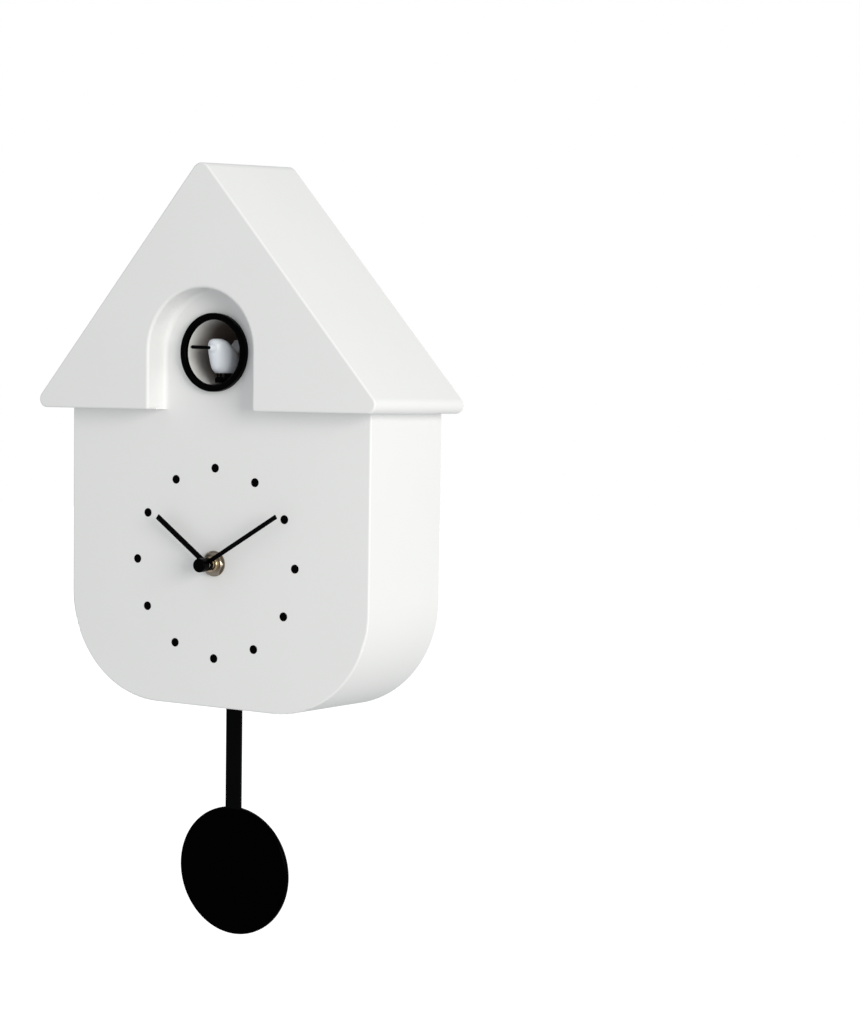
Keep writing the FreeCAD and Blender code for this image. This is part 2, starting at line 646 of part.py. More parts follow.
# carriage with rack teeth underneath
rm = num_of("rack_mod")
pitch = math.pi * rm
ztop = num_of("plat_top")
zbase = ztop - num_of("plat_th")
ya, yb = num_of("rack_front"), num_of("rack_rear")
ta = math.tan(math.radians(20))
thin = 0.06
prof = [V(0, ya, zbase + 0.2)]
k0 = int(math.ceil((ya + 0.8 - num_of("pin_y") - pitch / 2) / pitch))
yc = num_of("pin_y") + pitch / 2 + k0 * pitch
hp = pitch / 4 - thin
while yc < yb - 0.8:
    top_half = hp + (1.0 * rm) * ta
    tip_half = hp - (0.8 * rm) * ta
    prof += [V(0, yc - top_half, zbase), V(0, yc - tip_half, zbase - 1.8 * rm),
             V(0, yc + tip_half, zbase - 1.8 * rm), V(0, yc + top_half, zbase)]
    yc += pitch
prof.append(V(0, yb, zbase + 0.2))
clean = [prof[0]]
clean += prof[1:-1]
clean.append(prof[-1])
clean.append(prof[0])
teeth = Part.Face(Part.makePolygon(clean)).extrude(V(5.0, 0, 0))
teeth.translate(V(-2.5, 0, 0))
rack = feature(teeth, "rack_teeth")
plate = box(-d("plat_half"), d("plat_half"), d("plat_front"), d("plat_rear"), d("plat_top") - d("plat_th"), d("plat_top"))
plate = rounded(plate, 1.5, lambda e: along(e, "z") and e.BoundBox.YMax < num_of("plat_front") + 1)
tongue = box(-1.8, 1.8, fy + 1.8, d("plat_front") + 2, d("plat_top") - d("plat_th"), d("plat_top"))
saddle = box(-2.6, 2.6, fy + 11.2, fy + 15.0, d("plat_top") - 0.5, -50.5)
done(fuse([plate, rack, tongue, saddle], "carriage"), "bird_carriage")

# rail frame
zl = d("plat_top")
fr = fuse([box(-14.0, 14.0, d("face_y") + d("wall") + 0.1, d("face_y") + d("wall") + 2.1, -83.0, -66.0),
           box(-7.0, 7.0, d("face_y") + d("wall") + 2.1, -5.8, -72.0, -70.4),
           box(4.7, 6.6, -49.8, -5.8, -72.0, zl + 1.4),
           box(-6.6, -4.7, -49.8, -5.8, -72.0, zl + 1.4),
           box(3.2, 4.8, -49.8, -5.8, zl + 0.2, zl + 1.4),
           box(-4.8, -3.2, -49.8, -5.8, zl + 0.2, zl + 1.4),
           box(-6.6, 6.6, -49.8, -47.8, -72.0, -60.5)], "rail")
fr = cut(fr, [cyl(-10.0, d("pin_y"), d("pin_z"), 1.58, 20, "x"),
              cyl(11.0, fy + 10, -78.0, 1.6, 20, "y"), cyl(-11.0, fy + 10, -78.0, 1.6, 20, "y")], "rail_cut")
done(fr, "mechanism_frame")

# pinion, 15 teeth, a tooth points straight up at rest
pg = gear_solid(15, rm, 0.8, 1.1, 0.06, math.pi / 2, 5.0)
pg.Placement = FreeCAD.Placement(V(-2.5, num_of("pin_y"), num_of("pin_z")),
                                 FreeCAD.Rotation(V(0, 1, 0), V(0, 0, 1), V(1, 0, 0), "ZXY"))
shaft = Part.makeCylinder(1.5, 13.4, V(-6.9, num_of("pin_y"), num_of("pin_z")), V(1, 0, 0))
done(feature(pg.fuse(shaft), "pinion"), "drive_pinion")

gm = fuse([box(7.0, 25.0, -45.8, -25.8, -76.0, -58.4), cyl(25.0, -35.8, -67.2, 7.4, 16.0, "x"),
           box(41.0, 43.0, -38.8, -32.8, -69.5, -65.0)], "gearmotor")
gm = cut(gm, [cyl(6.0, d("pin_y"), d("pin_z"), 1.58, 1.8, "x")])
done(gm, "cuckoo_gearmotor")

# =====================================================================
# centre stack and movement
case_f = cut(box(-d("mov_half"), d("mov_half"), d("mov_front"), d("mov_split"), d("mov_bottom"), d("mov_top")),
             [box(-d("mov_half") + d("mov_wall"), d("mov_half") - d("mov_wall"), d("mov_front") + d("mov_wall"),
                  d("mov_split") + 1, d("mov_bottom") + d("mov_wall"), d("mov_top") - d("mov_wall")),
              cyl(0, d("mov_front") + 5, d("dial_z"), d("bush_or"), 10, "y")])
done(case_f, "movement_case_front")
case_r = cut(fuse([box(-d("mov_half"), d("mov_half"), d("mov_split"), d("mov_rear"), d("mov_bottom"), d("mov_top")),
                   cyl(11.0, d("mov_rear") + 5.0, -118.6, 1.5, 5.2, "y"),
                   cyl(-11.0, d("mov_rear") + 5.0, -118.6, 1.5, 5.2, "y")]),
             [box(-d("mov_half") + d("mov_wall"), d("mov_half") - d("mov_wall"), d("mov_split") - 1,
                  d("mov_rear") - d("mov_wall"), d("mov_bottom") + d("mov_wall"), d("mov_top") - d("mov_wall")),
              cyl(d("stem_x"), d("mov_rear") + 5, d("dial_z"), 1.58, 10, "y"),
              cyl(0, d("mov_rear") + 5, d("piv_z"), d("piv_rad"), 10, "y")])
done(case_r, "movement_case_rear")

mi = d("mov_half") - d("mov_wall") - 0.2
bridge = cut(box(-mi, mi, -56.7, -55.5, d("mov_bottom") + d("mov_wall") + 0.2, -134.0),
             [cyl(0, -52.8, d("dial_z"), 1.58, 6, "y"), cyl(d("wheel_x"), -52.8, d("dial_z"), 0.88, 6, "y"),
              cyl(d("stem_x"), -52.8, d("dial_z"), 1.58, 6, "y")])
done(bridge, "movement_bridge")

bush = fuse([cyl(0, d("mov_front") + d("mov_wall"), d("dial_z"), d("bush_or"), d("mov_front") + d("mov_wall") + 71.4, "y")])
th = [cyl(0, -52.8, d("dial_z"), d("bush_ir"), 25, "y")]
for k in range(2):
    y = -70.1 - 0.6 * k
    t = doc.addObject("Part::Torus", nm("thread"))
    t.Radius1 = num_of("bush_or") + 0.08
    t.setExpression("Radius1", "dims.bush_or + 0.08")
    t.Radius2 = 0.22
    t.Placement = FreeCAD.Placement(V(0, y, dz), ROT_Y)
    t.setExpression("Placement.Base.z", "dims.dial_z")
    th.append(t)
done(cut(bush, th), "threaded_bushing")

ws = cut(cyl(0, d("face_y"), d("dial_z"), d("washer_or"), d("washer_th"), "y"),
         [cyl(0, d("face_y") + 3, d("dial_z"), d("bush_or") + 0.1, 9, "y")])
done(ws, "nut_washer")
ny = d("face_y") - d("washer_th")
nut = doc.addObject("Part::MultiCommon", nm("nut"))
nut.Shapes = [prism(0, ny, d("dial_z"), 6, d("nut_af"), d("nut_th")),
              cone(0, ny, d("dial_z"), d("nut_af") / 2 + 2.2, d("nut_af") / 2 - 0.1, d("nut_th") * 1.02, "y")]
nut2 = cut(nut, [cyl(0, d("face_y") + 3, d("dial_z"), d("bush_or"), 9, "y")])
done(nut2, "mounting_nut")
gk = cut(box(-20.0, 20.0, d("face_y") + d("wall"), d("face_y") + d("wall") + d("gasket_th"), dz - 20.0, dz + 20.0),
         [cyl(0, d("face_y") + 9, d("dial_z"), d("bush_or") + 0.1, 12, "y")])
done(gk, "rubber_gasket")

ma, mb = num_of("mod_a"), num_of("mod_b")


def gear_y(z, m, add, thin_, phase, y_back, y_front, x, bore):
    g = gear_solid(z, m, add, 1.1, thin_, phase, y_back - y_front, bore)
    g.Placement = FreeCAD.Placement(V(x, y_back, dz), ROT_Y)
    return g


def cy(x, y_back, y_front, r):
    return Part.makeCylinder(r, y_back - y_front, V(x, y_back, dz), V(0, -1, 0))


wx, sx_ = num_of("wheel_x"), num_of("stem_x")
ar = num_of("arbor_rad")
lb, la = num_of("layer_b"), num_of("layer_a")
TH = 0.05
# minute arbor with the 12-tooth cannon pinion
arbor = cy(0, -55.55, -77.2, ar).fuse(gear_y(12, mb, 0.75, TH, 0.0, lb, lb - 1.2, 0, 0))
done(feature(arbor, "arbor"), "minute_arbor")
# minute wheel 36 with its 10-tooth pinion
mw = gear_y(36, mb, 0.7, TH, math.radians(5), lb, lb - 1.2, wx, 0)
mw = mw.fuse([gear_y(10, ma, 0.75, TH, 0.0, lb - 1.2, -62.0, wx, 0), cy(wx, -55.6, -62.4, 0.8)])
done(feature(mw, "wheel"), "minute_wheel")
# hour wheel 40 on its tube
hwl = gear_y(40, ma, 0.6, TH, math.radians(4.5), la, la - 1.4, 0, num_of("tube_ir"))
tubeh = cy(0, la, -74.8, num_of("tube_or")).cut(cy(0, la + 1, -75.8, num_of("tube_ir")))
done(feature(hwl.fuse(tubeh), "hour"), "hour_wheel")
# setting stem with 12-tooth pinion
stem = gear_y(12, mb, 0.75, TH, 0.0, lb, lb - 1.2, sx_, 0).fuse(cy(sx_, -8.0, -61.2, ar))
done(feature(stem, "stem"), "setting_stem")
kn = Part.makeCylinder(num_of("knob_rad"), 6.6, V(sx_, -1.4, dz), V(0, -1, 0))
flutes = []
for k in range(18):
    a = 2 * math.pi * k / 18
    flutes.append(Part.makeCylinder(0.7, 9, V(sx_ + 7.2 * math.cos(a), 0, dz + 7.2 * math.sin(a)), V(0, -1, 0)))
kn = kn.cut(Part.makeCompound(flutes)).cut(Part.makeBox(8, 0.8, 1.2, V(sx_ - 4, -1.9, dz - 0.6)))
kn = kn.cut(cy(sx_, -4.0, -9.0, ar))
stem2 = cy(sx_, -4.0, -8.0, ar)
doc.getObject(FINAL[-1][1].Name).Shape = FINAL[-1][1].Shape.fuse(stem2)
done(feature(kn, "knob"), "setting_knob")

coil = fuse([cyl(-12.0, -53.2, -171.0, 1.7, 22.0, "x"), cyl(-10.0, -53.2, -171.0, 2.0, 18.0, "x"),
             box(-12.0, -10.8, -55.1, -51.1, -173.0, -169.0), box(8.8, 10.0, -55.1, -51.1, -173.0, -169.0)], "coil")
done(coil, "stepper_coil")
st = cut(fuse([box(-15.0, -12.0, -54.0, -52.5, -173.2, -158.0), box(10.0, 13.0, -54.0, -52.5, -173.2, -158.0),
               box(-15.0, 13.0, -54.0, -52.5, -164.0, -158.0)]), [cyl(-1.0, -50.8, -161.0, 2.4, 6, "y")])
done(st, "stator")
qb = fuse([box(-22.0, 22.0, -51.8, -51.0, -155.0, -138.0), cyl(-14.0, -52.7, -147.0, 1.0, 6.2, "x"),
           cyl(2.0, -51.8, -146.5, 2.6, 0.9, "y")], "qb")
qb = cut(qb, [cyl(d("stem_x"), -48.8, d("dial_z"), 2.4, 6, "y"), cyl(0, -48.8, d("dial_z"), 2.0, 6, "y")])
done(qb, "quartz_board")

# hands
ht = d("hand_th")


def hand(ang, length, w, ymid, boss_r, boss_a, boss_b, hole, name):
    bar = box(-w / 2, w / 2, ymid - ht / 2, ymid + ht / 2, dz, dz + num(length), name)
    bar.setExpression("Height", length.t)
    # turn the bar clockwise about the dial axis
    rot = FreeCAD.Rotation(V(0, 1, 0), num(ang))
    off = rot.multVec(V(-num(w) / 2, 0, 0))
    bar.Placement = FreeCAD.Placement(V(off.x, num(ymid) - num(ht) / 2, dz + off.z), rot)
    bar.setExpression("Placement.Base.x", None)
    bar.setExpression("Placement.Base.z", None)
    f = fuse([bar, cyl(0, boss_b, d("dial_z"), boss_r, boss_b - boss_a, "y")])
    return cut(f, [cyl(0, -62.8, d("dial_z"), hole, 30, "y")])


done(hand(d("hour_ang"), d("hour_len"), d("hour_w"), d("hour_y"), 3.3, -74.4, Q(-72.4, "-72.4"), d("tube_or"), "hour_bar"),
     "hour_hand")
done(hand(d("minute_ang"), d("minute_len"), d("minute_w"), d("minute_y"), 3.0, -77.1, Q(-75.2, "-75.2"), d("arbor_rad"), "minute_bar"),
     "minute_hand")
cap = cyl(0, -77.2, d("dial_z"), d("cap_rad"), -77.2 - d("cap_front"), "y")
cap = rounded(cap, 0.9, lambda e: flat_y(e, num_of("cap_front")))
done(cap, "hand_cap")

# =====================================================================
# pendulum
pv = fuse([cyl(0, -47.5, d("piv_z"), d("piv_rad"), 3.0, "y"), cyl(0, -46.9, d("piv_z"), 2.4, 0.6, "y")])
done(pv, "pendulum_pivot")
hg = cut(box(-5.0, 5.0, d("bar_front") - 1.0, d("bar_front"), -168.0, -120.4),
         [cyl(0, -42.8, d("piv_z"), d("piv_rad") + 0.08, 10, "y")])
hg = rounded(hg, 3.0, lambda e: along(e, "y") and e.BoundBox.ZMin > -122)
done(hg, "pendulum_hanger")
br = box(-d("bar_w") / 2, d("bar_w") / 2, d("bar_front"), d("bar_front") + d("bar_th"), d("bob_z") + 2.0, -130.0)
done(br, "pendulum_bar")
bob = cyl(0, d("bob_front") + d("bob_th"), d("bob_z"), d("bob_rad"), d("bob_th"), "y")
bob = rounded(bob, 1.4, lambda e: e.Curve.TypeId == "Part::GeomCircle")
bob = cut(bob, [box(-d("bar_w") / 2, d("bar_w") / 2, d("bar_front"), d("bar_front") + d("bar_th"), d("bob_z") + 2.0,
                    d("bob_z") + 40)])
done(bob, "pendulum_bob")
done(cyl(0, d("bar_front") + d("bar_th") + 0.9, -160.0, 3.0, 0.9, "y"), "pendulum_magnet")
dc = cut(box(-16.0, 16.0, -44.2, -30.8, -172.0, -114.0),
         [box(-14.8, 14.8, -43.0, -29.8, -170.8, -115.2)])
lid = box(-14.8, 14.8, -32.0, -30.8, -170.8, -115.2)
done(fuse([dc, lid], "drive_case"), "pendulum_drive_case")
done(cut(fuse([cyl(0, -34.8, -160.0, 6.5, 7.4, "y")]), [cyl(0, -33.8, -160.0, 1.5, 10, "y")]), "pendulum_drive_coil")

# =====================================================================
# back cover
B = body("cover_body")
s = sketch(B, "XZ_Plane", Q(0, "0"), "cover_outline")
gc = d("draft") * (tub_d - d("cover_th"))
hc = hw - d("wall") + gc - d("cover_gap")
zc = d("body_bottom") + d("wall") - gc + d("cover_gap")
g3 = g2 + d("cover_gap")
rc = depth - d("cover_th")
poly(s, [(-hc, zc), (hc, zc), (hc, roof_line(hc, g3, rc)), (0, roof_line(0, g3, rc)), (-hc, roof_line(hc, g3, rc))])
pad(B, s, d("cover_th"))
pdfillet(B, d("bottom_rad") - d("wall") + gc - d("cover_gap"), lambda e: along(e, "y") and e.BoundBox.ZMax < -220)
pb = [(-69.0, -91.0), (-27.0, -119.0)]
s = sketch(B, "XZ_Plane", -d("cover_th") + 0.2, "board_posts")
for x, z in pb:
    circ(s, x, z, 2.5)
pad(B, s, d("cover_th") * 0 + 0.2 + 9.8)
sp = [(48.0 + 23.2 * math.cos(math.radians(a)), -105.0 + 23.2 * math.sin(math.radians(a))) for a in (90, 210, 330)]
s = sketch(B, "XZ_Plane", -d("cover_th") + 0.2, "speaker_posts")
for x, z in sp:
    circ(s, x, z, 2.4)
pad(B, s, d("cover_th") * 0 + 0.2 + 1.4)
yfr = -d("cover_th") - 11.0
s = sketch(B, "XZ_Plane", -d("cover_th") - 10.5, "post_bores")
for x, z in pb:
    circ(s, x, z, 1.0)
for x, z in sp:
    circ(s, x, z, 1.0)
pocket(B, s, 11.5)
# through openings
s = sketch(B, "XZ_Plane", -d("cover_th") - 1, "cover_openings")
for x, z in cols:
    circ(s, x, z, 1.4)
circ(s, d("stem_x"), d("dial_z"), d("knob_hole"))
rect(s, -d("door_half") - d("door_gap"), d("door_half") + d("door_gap"), d("door_bot") - d("door_gap"), d("door_top") + d("door_gap"))
circ(s, -62.0, -112.0, 5.6)
circ(s, -34.0, -101.0, 3.2)
rect(s, -55.0, -41.0, -98.2, -93.8)
pocket(B, s, d("cover_th") + 2)
for k in range(7):
    s = sketch(B, "XZ_Plane", -d("cover_th") - 1, "grille")
    zz = -105.0 + (k - 3) * 4.6
    hx = math.sqrt(15.5 ** 2 - (zz + 105.0) ** 2)
    rect(s, 48.0 - hx, 48.0 + hx, zz - 1.1, zz + 1.1)
    pocket(B, s, d("cover_th") + 2)
# keyhole: round entry at the origin, slot above
s = sketch(B, "XZ_Plane", -d("cover_th") - 1, "key_entry")
circ(s, 0, 0, d("key_rad"))
pocket(B, s, d("cover_th") + 2)
s = sketch(B, "XZ_Plane", -d("cover_th") - 1, "key_slot")
rect(s, -d("key_slot"), d("key_slot"), 1.0, d("key_run"))
pocket(B, s, d("cover_th") + 2)
s = sketch(B, "XZ_Plane", -d("cover_th") - 1, "key_end")
circ(s, 0, d("key_run"), d("key_slot"))
pocket(B, s, d("cover_th") + 2)
s = sketch(B, "XZ_Plane", Q(-1.7, "-1.7"), "screw_seats")
for x, z in cols:
    circ(s, x, z, 3.1)
pocket(B, s, 2.0)
# door hinge sockets, both sides of the opening
s = sketch(B, "YZ_Plane", d("door_half") + d("door_gap") + 1.4, "socket_right")
circ(s, d("door_axis_y"), d("door_axis_z"), d("door_pin") + 0.08)
pocket(B, s, 3.0)
s = sketch(B, "YZ_Plane", -d("door_half"), "socket_left")
circ(s, d("door_axis_y"), d("door_axis_z"), d("door_pin") + 0.08)
pocket(B, s, 1.8)
done(B, "back_cover")

# battery door: panel, two pins, finger notch, three ribs inside
dr = fuse([box(-d("door_half"), d("door_half"), -2.3, -0.1, d("door_bot"), d("door_top")),
           cyl(-d("door_half") - 1.3, d("door_axis_y"), d("door_axis_z"), d("door_pin"), 2 * d("door_half") + 2.6, "x")])
dr = cut(dr, [cyl(0, 5.0, -176.0, 5.0, 6.0, "y"),
              box(-12.0, 12.0, -0.7, 1.0, -184.0, -183.0), box(-12.0, 12.0, -0.7, 1.0, -187.0, -186.0)])
done(dr, "battery_door")

# battery tray, open to the back
czs = [d("cell_z0") + d("cell_pitch") * k for k in range(3)]
tr = cut(box(-33.0, 33.0, -21.0, -2.6, -215.2, -167.0), [box(-31.4, 31.4, -19.6, -1.0, -213.6, -168.8)])
ribs = [box(-28.0, 28.0, -19.8, -18.95, czs[0] + 7.0, czs[0] + 7.6), box(-28.0, 28.0, -19.8, -18.95, czs[1] + 7.0, czs[1] + 7.6)]
done(fuse([tr] + ribs, "tray"), "battery_tray")
cells = []
contacts = []
for k in range(3):
    sg = 1 if k % 2 == 0 else -1
    x0 = -25.0 if sg > 0 else -24.0
    c = [cyl(x0, d("cell_y"), czs[k], d("cell_rad"), d("cell_len"), "x")]
    if sg > 0:
        c.append(cyl(24.0, d("cell_y"), czs[k], 2.7, 1.3, "x"))
        contacts.append(box(25.3, 25.8, d("cell_y") - 5, d("cell_y") + 5, czs[k] - 6, czs[k] + 6))
        contacts.append(box(-31.3, -30.8, d("cell_y") - 5, d("cell_y") + 5, czs[k] - 6, czs[k] + 6))
        sx0, sx1 = -30.8, -25.0
    else:
        c.append(cyl(-25.3, d("cell_y"), czs[k], 2.7, 1.3, "x"))
        contacts.append(box(-25.8, -25.3, d("cell_y") - 5, d("cell_y") + 5, czs[k] - 6, czs[k] + 6))
        contacts.append(box(30.8, 31.3, d("cell_y") - 5, d("cell_y") + 5, czs[k] - 6, czs[k] + 6))
        sx0, sx1 = 25.0, 30.8
    cells.append(fuse(c, "cell"))
    L = sx1 - sx0
    turns, seg = 3, 20
    hp_ = []
    for i in range(turns * seg + 1):
        f_ = i / float(turns * seg)
        rr = 2.2 + 2.2 * (1 - f_ if sx0 < 0 else f_)
        a = 2 * math.pi * i / seg
        hp_.append((sx0 + 0.45 + (L - 0.9) * f_, num_of("cell_y") + rr * math.cos(a), num(czs[k]) + rr * math.sin(a)))
    contacts.append(feature(wire_solid(hp_, 0.35), "spring"))
done(group(cells, "cells"), "battery_cells")
done(group(contacts, "contacts"), "battery_contacts")

# speaker
fx, fz = d("spk_x"), d("spk_z")
sf = fuse([cyl(fx, -2.6, fz, d("spk_rad"), 1.4, "y"), cone(fx, -4.0, fz, 17.5, 9.5, 8.0, "y")])
sf = cut(sf, [cyl(fx, -1.0, fz, 16.0, 2.5, "y"), cone(fx, -3.4, fz, 16.2, 8.3, 8.7, "y")])
win = []
for k in range(4):
    a = math.radians(45 + 90 * k)
    win.append(cyl(fx + 13.0 * math.cos(a), -6.0, fz + 13.0 * math.sin(a), 3.2, 4.0, "y"))
done(cut(sf, win), "speaker_frame")
sc = cut(fuse([cone(fx, -3.6, fz, 15.6, 6.0, 6.0, "y")]), [cone(fx, -3.1, fz, 15.4, 5.6, 6.2, "y")])
done(fuse([sc, cyl(fx, -7.2, fz, 9.0, 0.9, "y")], "cone"), "speaker_cone")
done(cyl(fx, -12.1, fz, 11.0, 6.0, "y"), "speaker_magnet")

# sound board and parts
px, pz = d("pcb_x"), d("pcb_z")
bd = cut(box(px - d("pcb_w") / 2, px + d("pcb_w") / 2, d("pcb_rear") - d("pcb_th"), d("pcb_rear"), pz - d("pcb_h") / 2,
             pz + d("pcb_h") / 2), [cyl(x, -10.0, z, 1.2, 6, "y") for x, z in pb])
done(bd, "sound_board")
yb_ = d("pcb_rear") - d("pcb_th")
comps = [box(-60.0, -50.0, yb_ - 2.2, yb_, -104.0, -97.0), cyl(-38.0, yb_, -112.0, 3.1, 7.0, "y"),
         cyl(-46.0, yb_, -114.0, 2.5, 6.0, "y"), box(-70.0, -62.0, yb_ - 6.0, yb_, -121.0, -115.0),
         box(-66.0, -58.0, -12.3, -10.4, -116.0, -108.0), box(-54.0, -42.0, -12.3, -8.8, -98.6, -93.4),
         box(-37.2, -30.8, -12.3, -10.5, -104.2, -97.8), box(-33.0, -25.0, yb_ - 5.0, yb_, -96.0, -90.0)]
done(group(comps, "comps"), "board_components")
mode = fuse([box(-53.4, -49.4, -8.6, -3.2, -97.6, -94.4), box(-53.4, -49.4, -3.2, -0.9, -97.2, -94.8)])
done(mode, "mode_switch")
vk = cut(cyl(-62.0, -1.0, -112.0, 5.0, 8.9, "y"), [box(-62.4, -61.6, -1.8, 0, -112.0, -107.0)])
done(vk, "volume_knob")
tb = fuse([cyl(-34.0, -0.9, -101.0, 3.0, 7.9, "y"), cyl(-34.0, -2.7, -101.0, 4.0, 1.0, "y")])
done(tb, "test_button")


# fasteners
def screw(x, z, y_top, head_r, head_h, shank_r, length, name, sgn=1):
    """head's outer face at y_top, shank towards -Y (sgn 1) or +Y (sgn -1)"""
    if sgn > 0:
        p = [cyl(x, y_top, z, head_r, head_h, "y"), cyl(x, y_top - head_h, z, shank_r, length, "y")]
        y0, y1 = y_top - 0.9, y_top + 1
    else:
        p = [cyl(x, y_top + head_h, z, head_r, head_h, "y"), cyl(x, y_top + head_h + length, z, shank_r, length, "y")]
        y0, y1 = y_top - 1, y_top + 0.9
    return cut(fuse(p, name), [box(x - 0.4, x + 0.4, y0, y1, z - head_r * 0.6, z + head_r * 0.6),
                               box(x - head_r * 0.6, x + head_r * 0.6, y0, y1, z - 0.4, z + 0.4)], name)


# roof screws sit on the inside of the tub's front wall; their heads face the back
done(group([screw(x, z, d("face_y") + d("wall") + 1.6, 3.0, 1.6, 1.2, 9.5, "roof_screw") for x, z in roofs], "roof_screws"),
     "roof_screws")
done(group([screw(x, z, Q(-0.3, "-0.3"), 2.8, 1.4, 1.2, 13.0, "cover_screw") for x, z in cols], "cover_screws"), "cover_screws")
done(group([screw(x, z, Q(-5.6, "-5.6"), 3.4, 1.5, 0.95, 2.5, "speaker_screw", -1) for x, z in sp], "speaker_screws"),
     "speaker_screws")
done(group([screw(x, z, Q(-15.5, "-15.5"), 2.0, 1.6, 0.95, 7.0, "board_screw", -1) for x, z in pb], "board_screws"), "board_screws")


# leads: each a swept round wire
def lead(pts, r=0.55):
    bs = Part.BSplineCurve()
    bs.interpolate([V(*p) for p in pts])
    e = bs.toShape()
    q = [e.valueAt(e.FirstParameter + (e.LastParameter - e.FirstParameter) * i / 28.0) for i in range(29)]
    return feature(wire_solid([(v.x, v.y, v.z) for v in q], r), "lead")


leads = [
    lead([(-32.0, -21.6, -180.0), (-44.0, -26.0, -165.0), (-56.0, -26.0, -140.0), (-66.0, -24.0, -128.0), (-66.0, -20.6, -118.0)]),
    lead([(-32.0, -21.6, -184.0), (-45.5, -26.0, -167.0), (-58.0, -26.0, -140.0), (-68.0, -24.0, -128.0), (-68.0, -20.6, -118.0)]),
    lead([(44.0, -18.8, -100.0), (30.0, -26.0, -92.0), (0.0, -28.0, -90.0), (-20.0, -26.0, -90.0), (-28.0, -19.6, -92.0)]),
    lead([(44.0, -18.8, -104.0), (30.0, -26.0, -96.0), (0.0, -28.0, -94.0), (-20.0, -26.0, -94.0), (-30.0, -19.6, -94.0)]),
    lead([(43.8, -34.3, -66.5), (47.0, -31.0, -70.0), (20.0, -30.0, -82.0), (-20.0, -30.0, -86.0), (-31.5, -19.6, -91.5)]),
    lead([(43.8, -37.3, -66.5), (49.5, -33.5, -72.0), (20.0, -32.6, -84.0), (-22.0, -32.6, -88.0), (-32.5, -19.6, -94.5)]),
]
done(group(leads, "leads"), "internal_leads")

# =====================================================================
doc.recompute()
os.makedirs("parts", exist_ok=True)
bad = 0
for o in doc.Objects:
    if "Invalid" in o.State or "Error" in o.State:
        print("BAD STATE", o.Name, o.Label, o.State)
        bad += 1
for label, o in FINAL:
    sh = o.Shape
    ok = (not sh.isNull()) and sh.isValid() and len(sh.Solids) > 0 and sh.Volume > 0
    if not ok:
        print("BAD SHAPE", label, sh.isNull(), sh.isValid() if not sh.isNull() else "")
        bad += 1
        continue
    bb = sh.BoundBox
    print("%-22s solids %2d vol %10.1f  x %.2f..%.2f y %.2f..%.2f z %.2f..%.2f" % (
        label, len(sh.Solids), sh.Volume, bb.XMin, bb.XMax, bb.YMin, bb.YMax, bb.ZMin, bb.ZMax))
if bad:
    raise RuntimeError("%d faults" % bad)
for label, o in FINAL:
    o.Shape.exportStep("parts/" + label + ".step")
print("nodes", len(FINAL))
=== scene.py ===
import json
import math

import bpy
import bmesh
from mathutils import Matrix, Vector

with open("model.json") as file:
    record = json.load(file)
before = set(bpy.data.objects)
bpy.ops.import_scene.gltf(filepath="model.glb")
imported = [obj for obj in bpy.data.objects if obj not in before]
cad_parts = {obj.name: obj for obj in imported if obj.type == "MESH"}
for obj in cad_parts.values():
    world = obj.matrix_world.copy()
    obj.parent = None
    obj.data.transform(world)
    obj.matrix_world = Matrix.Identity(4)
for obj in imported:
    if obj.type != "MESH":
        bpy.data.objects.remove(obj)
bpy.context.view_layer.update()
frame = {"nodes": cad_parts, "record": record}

nodes = frame["nodes"]
scene = bpy.context.scene
MM = 0.001


# ------------------------------------------------------------------ materials
def new_mat(name):
    m = bpy.data.materials.new(name)
    m.use_nodes = True
    nt = m.node_tree
    bsdf = nt.nodes["Principled BSDF"]
    return m, nt, bsdf


